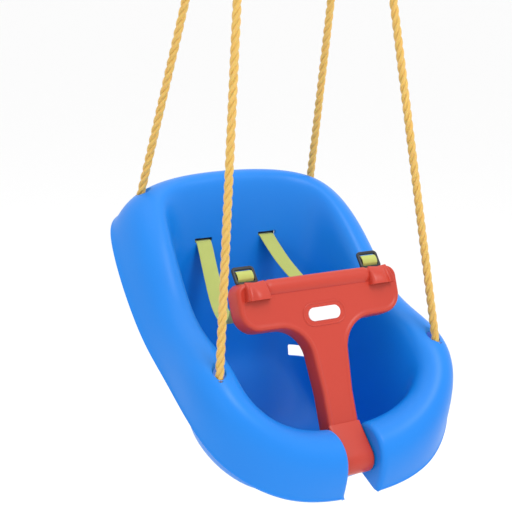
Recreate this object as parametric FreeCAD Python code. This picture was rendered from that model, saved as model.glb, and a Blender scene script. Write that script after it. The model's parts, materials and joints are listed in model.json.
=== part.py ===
import FreeCAD, Part
import math
import os

# Toddler bucket swing: a moulded seat shell with a T-shaped restraint bar, two harness straps
# and four hanging ropes.  Millimetres.  +X is the child's left-hand side seen from the front
# of the seat, the front of the seat faces -Y, and +Z is up.  The seat is laid out in its own
# coordinates and moved at the end, so that the origin is midway between the two hanging links.

V = FreeCAD.Vector
X_AXIS = V(1, 0, 0)
Y_AXIS = V(0, 1, 0)
Z_AXIS = V(0, 0, 1)

# --- seat shell ---
WALL = 3.6
SLOT_HALF = 30.0           # half width of the front slot for the restraint bar
END_WALL = 3.0             # plates that close the two lip halves
ROPE_HOLE_R = 7.0
REAR_HOLE = V(147, 165, 384)
FRONT_HOLE = V(178, -116, 197)
STRAP_SLOT_X = (40.0, 69.5)
STRAP_SLOT_Z = 313.0
STRAP_SLOT_HEIGHT = 6.5
WINDOW_X = (88.0, 115.0)
WINDOW_Z = (120.0, 137.0)
WINDOW_Y = (70.0, 175.0)
STRAP_SLOT_Y = (130.0, 185.0)
SLOT_FLOOR_Z = 52.0        # the lip is open to this height at the front slot

# Rim stations from the front centre to the back centre of the +X half:
# crest point, plan direction and backward tilt of the skirt in degrees, inner roll width and
# drop, pan corner, shoulder out and drop, skirt edge out and drop.
STATIONS = [
    (V(0, -164, 107), -90, 0, 24, 12, V(0, -118, 14), 36, 30, 25, 82),
    (V(60, -165, 110), -90, 0, 24, 12, V(58, -116, 14), 36, 30, 25, 83),
    (V(122, -160, 133), -76, 5, 24, 14, V(98, -104, 16), 33, 30, 29, 92),
    (V(165, -141, 176), -45, 15, 30, 18, V(118, -75, 20), 32, 30, 33, 98),
    (V(175, -104, 211), -14, 10, 32, 18, V(124, -30, 24), 35, 26, 35, 82),
    (V(176, -44, 228), 0, 12, 30, 18, V(122, 10, 28), 27, 27, 32, 56),
    (V(173, 6, 252), 0, 30, 30, 20, V(118, 50, 36), 25, 27, 34, 54),
    (V(172, 48, 301), 5, 50, 30, 20, V(112, 82, 48), 25, 26, 34, 56),
    (V(166, 88, 348), 15, 55, 28, 20, V(102, 108, 70), 25, 24, 36, 54),
    (V(150, 138, 387), 42, 35, 26, 20, V(84, 128, 95), 38, 17, 42, 42),
    (V(102, 162, 400), 78, 5, 20, 20, V(58, 140, 110), 34, 18, 38, 50),
    (V(40, 164, 406), 90, 0, 18, 22, V(25, 143, 115), 32, 18, 36, 56),
]

# --- restraint bar, in its own plane: x across, h up from the pivot, w back from the face ---
PIVOT = V(0, -165, 67)
LEAN = 21.0                # degrees the bar leans back from vertical at rest
BAR_TOP = 255.0
ARM_HALF = 133.0
ARM_BOTTOM = 185.0
STEM_HALF = 26.0
BAR_DEPTH = 24.0
BAR_SKIN = 3.5
KNUCKLE_R = 20.0
HOOD_X = 101.0
HOOD_H = 240.0
HOOD_WIDTH = 38.0
HOOD_SKIN = 2.5
NOTCH_HALF = 20.0          # notches in the top flange in which the buckles rest
ROLL_HALF = 88.0
ROLL_R = 9.0
BADGE_H = 200.0
BADGE_HALF = 26.0
BADGE_R = 9.0
AXLE_R = 4.0
AXLE_HALF = 41.0
RUNNING = 0.06

# --- harness ---
STRAP_WIDTH = 25.0
STRAP_THICK = 1.4
STRAP_LEVEL = 311.2        # where the strap runs through its slot
ANCHOR_Y = 150.6
ANCHOR_SIZE = (38.0, 4.0, 18.0)
BUCKLE_AT = V(103, -50, 307)
BUCKLE_SIZE = (35.0, 27.0, 4.0)
BUCKLE_LEAN = 38.0

# --- ropes and hanging hardware ---
ROPE_D = 12.0
RING_AT = V(83, -5, 985)
RING_R = 21.0
WIRE_R = 4.0
LINK_R = 11.0
LINK_STRAIGHT = 26.0
LINK_GAP = 0.6
FERRULE_DROP = 34.0
FERRULE_LENGTH = 24.0
TAIL = 62.0
KNOT_R = 11.0
KNOT_DROP = 24.0           # from a hole's rim down to its knot's centre
WASHER_R = 10.5
WASHER_DROP = 12.0
ROPE_GAP = 0.45            # between a rope and the ring's wire


def unit(vector):
    result = V(vector)
    result.normalize()
    return result


def mirrored(shape):
    return shape.mirror(V(0, 0, 0), X_AXIS)


# ---------------------------------------------------------------- seat shell

def station_points(station):
    """Twelve points from the middle of the pan, up the wall, over the rim to the skirt edge."""
    crest, plan, tilt, wi, di, pan, so, sd, eo, ed = station
    out = V(math.cos(math.radians(plan)), math.sin(math.radians(plan)), 0)
    up = V(0, -math.sin(math.radians(tilt)), math.cos(math.radians(tilt)))
    wall_top = crest - out * wi - Z_AXIS * di
    return [
        V(pan.x * 0.1, pan.y * 0.1 - 2, 8),
        V(pan.x * 0.62, pan.y * 0.62, 6),
        pan - out * 8 - Z_AXIS * 6,
        pan + out * 4 + Z_AXIS * 14,
        pan * 0.45 + wall_top * 0.55 + out * 3,
        wall_top,
        crest - out * wi * 0.5 + Z_AXIS * 3,
        crest + out * so * 0.55 - up * sd * 0.2 + Z_AXIS * 2,
        crest + out * so - up * sd,
        crest + out * (so * 0.5 + eo * 0.5 + 1) - up * (ed * 0.6 + sd * 0.4),
        crest + out * eo - up * (ed - 3),
        crest + out * (eo + 3) - up * ed,
    ]


def control_net():
    right = [station_points(s) for s in STATIONS]
    left = [[V(-p.x, p.y, p.z) for p in row] for row in right[1:]]
    return right + left[::-1]


def offset_net(net, distance):
    """The net moved by a distance against its own normals, to the underside of the sheet."""
    count, levels = len(net), len(net[0])
    moved = []
    for i in range(count):
        row = []
        for j in range(levels):
            around = net[(i + 1) % count][j] - net[i - 1][j]
            along = net[i][min(j + 1, levels - 1)] - net[i][max(j - 1, 0)]
            normal = V(0, 0, 1) if j == 0 else unit(around.cross(along)) * -1
            row.append(net[i][j] - normal * distance)
        moved.append(row)
    return moved


def net_surface(net):
    """Uniform cubic surface: closed around the seat, running to its end rows across the sheet."""
    rows = [[row[0] * 2 - row[1]] + row + [row[-1] * 2 - row[-2]] for row in net]
    count, levels = len(rows), len(rows[0])
    surface = Part.BSplineSurface()
    around = [1] * (count + 1)
    across = [1] * (levels + 4)
    surface.buildFromPolesMultsKnots(
        rows, around, across,
        [float(i) for i in range(count + 1)], [float(i) for i in range(levels + 4)],
        True, False, 3, 3)
    surface.segment(0.0, float(count), 3.0, float(levels))
    return surface


def sheet_solid(top, under):
    _, _, v0, v1 = top.bounds()
    faces = [top.toShape(), under.toShape()]
    faces.append(Part.makeRuledSurface(top.vIso(v1).toShape(), under.vIso(v1).toShape()))
    for surface in (top, under):
        faces.append(Part.Face(Part.Wire(surface.vIso(v0).toShape())))
    shell = Part.makeShell(faces)
    shell.sewShape()
    solid = Part.Solid(Part.Shell(shell.Faces))
    if solid.Volume < 0:
        solid.reverse()
    return solid


def box(x0, x1, y0, y1, z0, z1):
    return Part.makeBox(x1 - x0, y1 - y0, z1 - z0, V(x0, y0, z0))


def station_at(surface, x, v):
    """The parameter round the seat at which the front half of a level line reaches x."""
    low, high = 0.0, 1.0
    for _ in range(40):
        u = (low + high) / 2
        if surface.value(u, v).x < x:
            low = u
        else:
            high = u
    return (low + high) / 2


def lip_end_wall(middle):
    """A plate with the section of the rolled front lip, just outside the front slot."""
    _, _, v0, v1 = middle.bounds()
    crest_level, first_level = v0 + 6.0, v0 + 3.6
    u = station_at(middle, SLOT_HALF + END_WALL / 2, crest_level)
    count = 26
    points = []
    for i in range(count + 1):
        p = middle.value(u, first_level + (v1 - 0.1 - first_level) * i / count)
        points.append(V(SLOT_HALF, p.y, p.z))
    curve = Part.BSplineCurve()
    curve.interpolate(points)
    wire = Part.Wire([curve.toShape(), Part.makeLine(points[-1], points[0])])
    return Part.Face(wire).extrude(V(END_WALL, 0, 0))


def side_cuts(side):
    """The rope holes, strap slot and hip window of one side of the seat."""
    cuts = []
    for hole in (REAR_HOLE, FRONT_HOLE):
        at = V(hole.x * side, hole.y, hole.z)
        up = unit(V(RING_AT.x * side, RING_AT.y, RING_AT.z) - at)
        cuts.append(Part.makeCylinder(ROPE_HOLE_R, 60, at - up * 30, up))
    x0, x1 = sorted((STRAP_SLOT_X[0] * side, STRAP_SLOT_X[1] * side))
    half = STRAP_SLOT_HEIGHT / 2
    cuts.append(box(x0, x1, *STRAP_SLOT_Y, STRAP_SLOT_Z - half, STRAP_SLOT_Z + half))
    x0, x1 = sorted((WINDOW_X[0] * side, WINDOW_X[1] * side))
    cuts.append(box(x0, x1, *WINDOW_Y, *WINDOW_Z))
    return cuts


def seat_shell():
    net = control_net()
    shell = sheet_solid(net_surface(net), net_surface(offset_net(net, WALL)))
    wall = lip_end_wall(net_surface(offset_net(net, WALL / 2)))
    shell = shell.cut(box(-SLOT_HALF, SLOT_HALF, -260, -112, SLOT_FLOOR_Z, 160))
    shell = shell.cut(box(-SLOT_HALF, SLOT_HALF, -260, -150, -20, 160))
    shell = shell.fuse([wall, mirrored(wall)])
    bore = Part.makeCylinder(AXLE_R + RUNNING, 120, V(-60, PIVOT.y, PIVOT.z), X_AXIS)
    return shell.cut([bore] + side_cuts(1) + side_cuts(-1))


# ---------------------------------------------------------------- restraint bar

def rounded_outline(corners):
    """A closed wire in the XZ plane through corners (x, z, radius) with tangent arcs."""
    count = len(corners)
    ends = []
    for i, (x, z, r) in enumerate(corners):
        here = V(x, 0, z)
        before = unit(V(corners[i - 1][0], 0, corners[i - 1][1]) - here)
        after_corner = corners[(i + 1) % count]
        after = unit(V(after_corner[0], 0, after_corner[1]) - here)
        half = math.acos(max(-1, min(1, before.dot(after)))) / 2
        reach = r / math.tan(half)
        middle = here + unit(before + after) * (r / math.sin(half) - r)
        ends.append((here + before * reach, middle, here + after * reach))
    edges = []
    for i, (start, middle, end) in enumerate(ends):
        edges.append(Part.Arc(start, middle, end).toShape())
        edges.append(Part.makeLine(end, ends[(i + 1) % count][0]))
    return Part.Wire(edges)


def bar_corners():
    right = [
        (STEM_HALF, 30, 1.0), (STEM_HALF, 92, 60), (34, ARM_BOTTOM, 44),
        (ARM_HALF - 1, ARM_BOTTOM + 2, 30), (ARM_HALF, BAR_TOP, 17),
    ]
    return right + [(-x, z, r) for x, z, r in right[::-1]]


def seated(shape):
    """Turns a shape made upright at the pivot's origin to the bar's resting lean."""
    shape = shape.copy()
    shape.rotate(V(0, 0, 0), X_AXIS, -LEAN)
    shape.translate(PIVOT)
    return shape


def hood(x):
    """A scoop on the bar's face over a strap slot, open underneath."""
    profile = Part.makePolygon([V(0, 1, 12), V(0, -9, 2), V(0, -13, -11), V(0, 1, -11), V(0, 1, 12)])
    outer = Part.Face(profile).extrude(V(HOOD_WIDTH, 0, 0))
    hollow = Part.makePolygon([V(0, 5, 9), V(0, -7, 1), V(0, -10.5, -20), V(0, 5, -20), V(0, 5, 9)])
    inner = Part.Face(hollow).extrude(V(HOOD_WIDTH - 2 * HOOD_SKIN, 0, 0))
    outer.translate(V(x - HOOD_WIDTH / 2, 0, HOOD_H))
    inner.translate(V(x - HOOD_WIDTH / 2 + HOOD_SKIN, 0, HOOD_H))
    return outer, inner


def knuckle():
    """The block and barrel at the foot of the stem, round the pivot."""
    side = [V(0, 0, 48), V(0, -17, 14), V(0, -14, -8), V(0, 12, -10), V(0, 12, 36), V(0, 0, 48)]
    block = Part.Face(Part.makePolygon(side)).extrude(V(2 * STEM_HALF, 0, 0))
    block.translate(V(-STEM_HALF, 0, 0))
    barrel = Part.makeCylinder(KNUCKLE_R, 2 * STEM_HALF, V(-STEM_HALF, 0, 0), X_AXIS)
    return block.fuse(barrel)


def lip_relief():
    """What is cut from the stem's back so that it clears the front lip as the bar turns."""
    back = BAR_DEPTH + 0.1
    side = [V(0, 11, 28), V(0, 40, 28), V(0, 40, 150), V(0, back, 110), V(0, 11, 40), V(0, 11, 28)]
    return Part.Face(Part.makePolygon(side)).extrude(V(80, 0, 0)).translated(V(-40, 0, 0))


def t_bar():
    face = Part.Face(rounded_outline(bar_corners()))
    plate = face.extrude(V(0, BAR_DEPTH, 0))
    front = [e for e in plate.Edges if e.BoundBox.YMax < 0.01]
    plate = plate.makeFillet(4.5, front)
    hollow = Part.Face(face.makeOffset2D(-BAR_SKIN).Wires[0]).extrude(V(0, BAR_DEPTH, 0))
    bar = plate.cut(hollow.translated(V(0, BAR_SKIN, 0)))
    bar = bar.fuse(knuckle()).cut(lip_relief())
    roll_at = V(-ROLL_HALF, ROLL_R - 2.5, BAR_TOP - ROLL_R - 1)
    bar = bar.fuse(Part.makeCylinder(ROLL_R, 2 * ROLL_HALF, roll_at, X_AXIS))
    for x in (-HOOD_X, HOOD_X):
        outer, inner = hood(x)
        bar = bar.fuse(outer).cut(inner)
    for x in (-BUCKLE_AT.x, BUCKLE_AT.x):
        bar = bar.cut(box(x - NOTCH_HALF, x + NOTCH_HALF, 8, BAR_DEPTH + 1, BAR_TOP - 12, BAR_TOP + 5))
    recess = Part.Face(stadium(BADGE_HALF + 2.5, BADGE_R + 2, 1.2)).extrude(V(0, 2, 0))
    bar = bar.cut(recess.translated(V(0, -0.8, BADGE_H)))
    bar = bar.cut(Part.makeCylinder(AXLE_R + RUNNING, 80, V(-40, 0, 0), X_AXIS))
    return seated(bar)


def stadium(half_length, radius, y):
    """A closed wire with two straight sides and round ends, in a plane across Y."""
    reach = half_length - radius
    left, right = V(-reach, y, 0), V(reach, y, 0)
    rise = V(0, 0, radius)
    return Part.Wire([
        Part.makeLine(left + rise, right + rise),
        Part.Arc(right + rise, V(half_length, y, 0), right - rise).toShape(),
        Part.makeLine(right - rise, left - rise),
        Part.Arc(left - rise, V(-half_length, y, 0), left + rise).toShape(),
    ])


def badge():
    plate = Part.Face(stadium(BADGE_HALF, BADGE_R, 0)).extrude(V(0, 2, 0))
    return seated(plate.translated(V(0, 0.4, BADGE_H)))


def pivot_axle():
    return Part.makeCylinder(AXLE_R, 2 * AXLE_HALF, V(-AXLE_HALF, PIVOT.y, PIVOT.z), X_AXIS)


def push_nut():
    inner = SLOT_HALF + END_WALL + 1.0
    at = V(inner, PIVOT.y, PIVOT.z)
    disc = Part.makeCylinder(9, 1.2, at, X_AXIS)
    dome = Part.makeCylinder(6, 4.2, at, X_AXIS)
    return disc.fuse(dome).cut(Part.makeCylinder(AXLE_R, 20, at - X_AXIS * 5, X_AXIS))


# ---------------------------------------------------------------- harness

def ribbon(centres, across, thickness):
    """A flat strap through centre points, with its width along each given half-width vector."""
    curves = []
    count = len(centres)
    for side in (1, -1):
        for lift in (0.5, -0.5):
            points = []
            for i, centre in enumerate(centres):
                along = centres[min(i + 1, count - 1)] - centres[max(i - 1, 0)]
                normal = unit(along.cross(across[i]))
                points.append(centre + across[i] * side + normal * thickness * lift)
            curve = Part.BSplineCurve()
            curve.interpolate(points)
            curves.append(curve)
    right_top, right_low, left_top, left_low = curves
    ring = [right_top, left_top, left_low, right_low]
    faces = []
    for i, curve in enumerate(ring):
        faces.append(Part.makeRuledSurface(curve.toShape(), ring[(i + 1) % 4].toShape()))
    for end in (0, -1):
        corners = [c.getPoles()[end] for c in ring]
        faces.append(Part.Face(Part.makePolygon(corners + corners[:1])))
    shell = Part.makeShell(faces)
    shell.sewShape()
    solid = Part.Solid(Part.Shell(shell.Faces))
    if solid.Volume < 0:
        solid.reverse()
    return solid


def buckle_frame(shape):
    shape = shape.copy()
    shape.rotate(V(0, 0, 0), X_AXIS, -BUCKLE_LEAN)
    shape.translate(BUCKLE_AT)
    return shape


def buckle():
    """A two-slot slide buckle: a rounded frame with a middle bar."""
    width, height, depth = BUCKLE_SIZE
    w, h = width / 2, height / 2
    corners = [(-w, -h, 5), (w, -h, 5), (w, h, 5), (-w, h, 5)]
    frame = Part.Face(rounded_outline(corners)).extrude(V(0, depth, 0))
    for z0, z1 in ((1.8, h - 5.0), (-h + 5.0, -1.8)):
        frame = frame.cut(box(-w + 4.6, w - 4.6, -1, depth + 1, z0, z1))
    return buckle_frame(frame.translated(V(0, -depth / 2, 0)))


def strap():
    """From the slot over the backrest's front, down in a slack curve and up to the buckle."""
    slot_x = sum(STRAP_SLOT_X) / 2
    x = BUCKLE_AT.x
    centres = [
        V(slot_x, 149.5, STRAP_LEVEL), V(slot_x, 145.5, STRAP_LEVEL),
        V(slot_x + 0.4, 140.5, STRAP_LEVEL - 1.5), V(slot_x + 2, 130, 299), V(slot_x + 9, 102, 271),
        V(slot_x + 18, 70, 248), V(slot_x + 28, 36, 235), V(slot_x + 38, 4, 233),
        V(slot_x + 45, -22, 246), V(x - 0.5, -40, 274), V(x, -48.5, 295), V(x, -53.5, 303.5),
    ]
    return ribbon(centres, [V(STRAP_WIDTH / 2, 0, 0)] * len(centres), STRAP_THICK)


def strap_anchor():
    """The strap's sewn end around a bar behind the backrest slot."""
    slot_x = sum(STRAP_SLOT_X) / 2
    half = ANCHOR_SIZE[0] / 2
    low, high = STRAP_SLOT_Z - ANCHOR_SIZE[2] / 2, STRAP_SLOT_Z + ANCHOR_SIZE[2] / 2
    bar = box(slot_x - half, slot_x + half, ANCHOR_Y, ANCHOR_Y + ANCHOR_SIZE[1], low, high)
    return bar.makeFillet(1.5, bar.Edges)


# ---------------------------------------------------------------- ropes and hardware

def rounded_path(points, largest=None):
    """Straight runs joined by tangent arcs; prints each arc's radius."""
    edges = []
    start = points[0]
    for i in range(1, len(points) - 1):
        here = points[i]
        before, after = points[i - 1] - here, points[i + 1] - here
        turn = math.pi - before.getAngle(after)
        radius = 0.45 * min(before.Length, after.Length) / math.tan(turn / 2)
        if largest and i in largest:
            radius = largest[i]
        reach = radius * math.tan(turn / 2)
        begin, end = here + unit(before) * reach, here + unit(after) * reach
        middle = here + unit(unit(before) + unit(after)) * (radius / math.cos(turn / 2) - radius)
        edges.append(Part.LineSegment(start, begin).toShape())
        edges.append(Part.Arc(begin, middle, end).toShape())
        print("  arc radius %.1f mm, turn %.1f degrees" % (radius, math.degrees(turn)))
        start = end
    edges.append(Part.LineSegment(start, points[-1]).toShape())
    return Part.Wire(edges)


def tube(points, diameter, largest=None):
    path = rounded_path(points, largest)
    circle = Part.Wire(Part.makeCircle(diameter / 2, points[0], unit(points[1] - points[0])))
    solid = path.makePipeShell([circle], True, True)
    section = math.pi * (diameter / 2) ** 2
    ratio = solid.Volume / (section * path.Length)
    print("  length %.0f mm, volume ratio %.4f" % (path.Length, ratio))
    return solid


def rope_frame(hole, angle):
    """Where a rope meets its ring: the wire's centre, the rope's direction and its side."""
    turn = math.radians(angle)
    wire = RING_AT + V(0, math.sin(turn), -math.cos(turn)) * RING_R
    up = unit(wire - hole)
    side = unit(X_AXIS - up * X_AXIS.dot(up))
    return wire, up, side


def rope_points(hole, angle):
    wire, up, side = rope_frame(hole, angle)
    wrap = WIRE_R + ROPE_D / 2 + ROPE_GAP
    half = ROPE_D / 2 + ROPE_GAP / 3
    return [
        hole - up * (KNOT_DROP + 8),
        wire + side * half - up * (FERRULE_DROP + 12),
        wire + side * wrap + up * wrap,
        wire - side * wrap + up * wrap,
        wire - side * half - up * (FERRULE_DROP + 4),
        wire - side * half * 1.06 - up * (TAIL + 8),
    ]


def rope(name, hole, angle):
    print(name)
    wrap = WIRE_R + ROPE_D / 2 + ROPE_GAP
    return tube(rope_points(hole, angle), ROPE_D, {2: wrap * 0.93, 3: wrap * 0.93})


def along(shape, at, up, side):
    """Places a shape made about +Z, with X as its long side, on a rope."""
    y = up.cross(side)
    matrix = FreeCAD.Matrix(side.x, y.x, up.x, at.x, side.y, y.y, up.y, at.y,
                            side.z, y.z, up.z, at.z, 0, 0, 0, 1)
    shape = shape.copy()
    shape.Placement = FreeCAD.Placement(matrix)
    return shape


def ferrule(hole, angle):
    wire, up, side = rope_frame(hole, angle)
    outer = Part.Face(flat_stadium(ROPE_D + 1.9, ROPE_D / 2 + 1.65)).extrude(V(0, 0, FERRULE_LENGTH))
    inner = Part.Face(flat_stadium(ROPE_D + 0.5, ROPE_D / 2 + 0.25)).extrude(V(0, 0, FERRULE_LENGTH))
    return along(outer.cut(inner), wire - up * (FERRULE_DROP + FERRULE_LENGTH), up, side)


def flat_stadium(half_length, radius):
    wire = stadium(half_length, radius, 0)
    wire.rotate(V(0, 0, 0), X_AXIS, -90)
    return wire


def stopper_knot(hole):
    up = unit(RING_AT - hole)
    ball = Part.makeSphere(KNOT_R)
    return along(ball, hole - up * KNOT_DROP, up, unit(X_AXIS - up * X_AXIS.dot(up)))


def rope_washer(hole):
    up = unit(RING_AT - hole)
    disc = Part.makeCylinder(WASHER_R, 1.6).cut(Part.makeCylinder(ROPE_D / 2 + 0.4, 4))
    return along(disc, hole - up * WASHER_DROP, up, unit(X_AXIS - up * X_AXIS.dot(up)))


def ring():
    return Part.makeTorus(RING_R, WIRE_R, RING_AT, X_AXIS)


def link_bar_height():
    return RING_AT.z + RING_R - 2 * WIRE_R - LINK_GAP


def hang_link():
    low = link_bar_height()
    middle = low + LINK_R + LINK_STRAIGHT / 2
    half = LINK_R + LINK_STRAIGHT / 2
    path = stadium(half, LINK_R, 0)
    path.rotate(V(0, 0, 0), Y_AXIS, 90)
    path.translate(V(RING_AT.x, RING_AT.y, middle))
    start = path.Edges[0].Vertexes[0].Point
    circle = Part.Wire(Part.makeCircle(WIRE_R, start, Z_AXIS))
    return path.makePipeShell([circle], True, True)


# ---------------------------------------------------------------- assembly

def build():
    nodes = {
        "seat_shell": seat_shell(),
        "t_bar": t_bar(),
        "badge": badge(),
        "pivot_axle": pivot_axle(),
    }
    sides = {
        "axle_push_nut": push_nut(),
        "strap": strap(),
        "buckle": buckle(),
        "strap_anchor": strap_anchor(),
        "ring": ring(),
        "hang_link": hang_link(),
    }
    for end, hole, angle in (("front", FRONT_HOLE, -20), ("rear", REAR_HOLE, 22)):
        sides["rope_" + end] = rope("rope_" + end, hole, angle)
        sides["rope_knot_" + end] = stopper_knot(hole)
        sides["rope_washer_" + end] = rope_washer(hole)
        sides["rope_ferrule_" + end] = ferrule(hole, angle)
    for name, shape in sides.items():
        nodes[name + "_right"] = mirrored(shape)
        nodes[name + "_left"] = shape
    return nodes


def main():
    os.makedirs("parts", exist_ok=True)
    hang = V(0, RING_AT.y, link_bar_height() + 2 * LINK_R + LINK_STRAIGHT - WIRE_R)
    nodes = build()
    for name, shape in nodes.items():
        solid = shape.Solids[0] if len(shape.Solids) == 1 else shape
        moved = solid.copy()
        moved.translate(hang * -1)
        moved.exportStep("parts/%s.step" % name)
        if not solid.isValid() or len(shape.Solids) != 1:
            print("check", name, solid.isValid(), len(shape.Solids))
        print("%-26s %9.0f mm3" % (name, solid.Volume))
    print("origin in seat coordinates", hang)


main()
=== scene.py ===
import json
import math

import bmesh
import bpy
import numpy as np
from mathutils import Matrix, Vector


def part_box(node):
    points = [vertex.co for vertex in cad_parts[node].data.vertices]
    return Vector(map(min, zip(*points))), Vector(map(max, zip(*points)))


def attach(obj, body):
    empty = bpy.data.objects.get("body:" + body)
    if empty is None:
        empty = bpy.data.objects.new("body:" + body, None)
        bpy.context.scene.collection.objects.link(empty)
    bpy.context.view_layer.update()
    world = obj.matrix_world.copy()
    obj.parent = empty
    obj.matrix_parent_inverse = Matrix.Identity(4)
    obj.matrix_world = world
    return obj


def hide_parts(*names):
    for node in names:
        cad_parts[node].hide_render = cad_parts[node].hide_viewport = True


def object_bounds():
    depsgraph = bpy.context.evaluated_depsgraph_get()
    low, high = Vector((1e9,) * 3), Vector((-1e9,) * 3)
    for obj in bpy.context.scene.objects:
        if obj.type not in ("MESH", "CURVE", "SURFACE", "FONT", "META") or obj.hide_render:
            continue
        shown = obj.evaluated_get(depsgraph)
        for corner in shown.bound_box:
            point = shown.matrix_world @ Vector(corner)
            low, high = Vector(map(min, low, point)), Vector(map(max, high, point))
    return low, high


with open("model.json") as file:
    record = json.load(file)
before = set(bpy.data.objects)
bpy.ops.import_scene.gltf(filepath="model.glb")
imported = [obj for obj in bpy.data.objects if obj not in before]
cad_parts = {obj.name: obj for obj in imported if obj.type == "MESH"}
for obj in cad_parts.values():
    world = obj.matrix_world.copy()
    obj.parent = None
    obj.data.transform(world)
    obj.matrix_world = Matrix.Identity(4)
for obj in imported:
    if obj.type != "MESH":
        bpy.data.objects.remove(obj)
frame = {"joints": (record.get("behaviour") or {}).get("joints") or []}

cad_low, cad_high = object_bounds()

# ------------------------------------------------------------------ driving values
# The seat's own coordinates are millimetres, as its drawing has them.  place() brings a seat
# point into the row frame, using the restraint bar's pivot, which both know.

MM = 0.001
PIVOT = Vector((0, -165, 67))
JOINTS = {joint["name"]: joint for joint in frame["joints"]}
SEAT_ORIGIN = Vector(JOINTS["t_bar_pivot"]["pos_m"]) - PIVOT * MM

WALL = 3.4
SLOT_HALF = 30.0
SLOT_FLOOR_Z = 52.0
CORNER_ROLL = 4.0
REAR_HOLE = Vector((147, 165, 384))
FRONT_HOLE = Vector((178, -116, 197))
ROPE_HOLE_R = 6.9
STRAP_SLOT_X = (40.0, 69.5)
STRAP_SLOT_Z = 313.0
STRAP_SLOT_HEIGHT = 6.0
WINDOW_X = (88.0, 115.0)
WINDOW_Z = (120.0, 137.0)

# Rim stations from the front centre to the back centre of the +X half: crest point, plan
# direction and backward tilt of the skirt in degrees, inner roll width and drop, pan corner,
# shoulder out and drop, skirt edge out and drop.
STATIONS = [
    ((0, -164, 107), -90, 0, 24, 12, (0, -118, 14), 36, 30, 25, 82),
    ((60, -165, 110), -90, 0, 24, 12, (58, -116, 14), 36, 30, 25, 83),
    ((122, -160, 133), -76, 5, 24, 14, (98, -104, 16), 33, 30, 29, 92),
    ((165, -141, 176), -45, 15, 30, 18, (118, -75, 20), 32, 30, 33, 98),
    ((175, -104, 211), -14, 10, 32, 18, (124, -30, 24), 35, 26, 35, 82),
    ((176, -44, 228), 0, 12, 30, 18, (122, 10, 28), 27, 27, 32, 56),
    ((173, 6, 252), 0, 30, 30, 20, (118, 50, 36), 25, 27, 34, 54),
    ((172, 48, 301), 5, 50, 30, 20, (112, 82, 48), 25, 26, 34, 56),
    ((166, 88, 348), 15, 55, 28, 20, (102, 108, 70), 25, 24, 36, 54),
    ((150, 138, 387), 42, 35, 26, 20, (84, 128, 95), 38, 17, 42, 42),
    ((102, 162, 400), 78, 5, 20, 20, (58, 140, 110), 34, 18, 38, 50),
    ((40, 164, 406), 90, 0, 18, 22, (25, 143, 115), 32, 18, 36, 56),
]

LEAN = 21.0
BAR_TOP = 255.0
ARM_HALF = 133.0
ARM_BOTTOM = 185.0
STEM_HALF = 26.0
BAR_DEPTH = 24.0
KNUCKLE_R = 20.0
ROLL_HALF = 89.0
HOOD_X = 101.0
HOOD_H = 240.0
BADGE_H = 200.0

STRAP_WIDTH = 25.0
STRAP_THICK = 1.4
BUCKLE_AT = Vector((103, -50, 307))
BUCKLE_SIZE = (35.0, 27.0, 4.0)
BUCKLE_LEAN = 38.0

ROPE_D = 12.0
ROPE_LAY = 43.0
ROPE_GAP = 0.45
PAIR_GAP = 0.15
EYE_LEAD = 12.0
RING_AT = Vector((83, -5, 985))
RING_R = 21.0
WIRE_R = 4.0
LINK_R = 11.0
LINK_STRAIGHT = 26.0
LINK_LOW = 997.4
FERRULE_DROP = 34.0
FERRULE_LENGTH = 24.0
TAIL = 62.0
KNOT_DROP = 24.0
KNOT_SPREAD = 2.35
KNOT_DEPTH = 3.6
WASHER_DROP = 12.0
STRAP_LEVEL = 311.2

# The closest two points may lie, in metres, before soften() welds them after a cut.
FINE_WELD = 0.000002

X_AXIS = Vector((1, 0, 0))
Y_AXIS = Vector((0, 1, 0))
Z_AXIS = Vector((0, 0, 1))


def place(point):
    """A seat point in the row frame."""
    return Vector(point) * MM + SEAT_ORIGIN


def to_seat(point):
    """A point of the row frame as a seat point."""
    return (point - SEAT_ORIGIN) / MM


def mirror_x(point, sign):
    return Vector((point.x * sign, point.y, point.z))


# ------------------------------------------------------------------ mesh helpers

def new_object(name, data):
    obj = bpy.data.objects.new(name, data)
    bpy.context.scene.collection.objects.link(obj)
    return obj


def mesh_from(name, points, faces, sharp_degrees=40):
    """A piece from seat-millimetre points, smooth but for edges sharper than the given angle."""
    mesh = bpy.data.meshes.new(name)
    mesh.from_pydata([tuple(place(p)) for p in points], [], [tuple(f) for f in faces])
    mesh.validate()
    obj = new_object(name, mesh)
    soften(obj, sharp_degrees)
    return obj


def soften(obj, sharp_degrees=40, merge=0.00001):
    """Welds doubled points, points faces outward, and marks sharp edges."""
    work = bmesh.new()
    work.from_mesh(obj.data)
    bmesh.ops.remove_doubles(work, verts=work.verts, dist=merge)
    bmesh.ops.dissolve_degenerate(work, edges=work.edges, dist=merge / 10)
    bmesh.ops.recalc_face_normals(work, faces=work.faces)
    limit = math.radians(sharp_degrees)
    for edge in work.edges:
        edge.smooth = len(edge.link_faces) == 2 and edge.calc_face_angle(0) < limit
    for face in work.faces:
        face.smooth = True
    work.to_mesh(obj.data)
    work.free()
    return obj


def join(name, objects):
    """Makes one piece of several mesh objects."""
    work = bmesh.new()
    for obj in objects:
        work.from_mesh(obj.data)
    mesh = bpy.data.meshes.new(name)
    work.to_mesh(mesh)
    work.free()
    for obj in objects:
        old = obj.data
        bpy.data.objects.remove(obj)
        bpy.data.meshes.remove(old)
    return new_object(name, mesh)


def applied(obj):
    """The object with its modifiers made part of its mesh."""
    bpy.context.view_layer.update()
    graph = bpy.context.evaluated_depsgraph_get()
    mesh = bpy.data.meshes.new_from_object(obj.evaluated_get(graph))
    obj.modifiers.clear()
    old = obj.data
    obj.data = mesh
    bpy.data.meshes.remove(old)
    return obj


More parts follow.
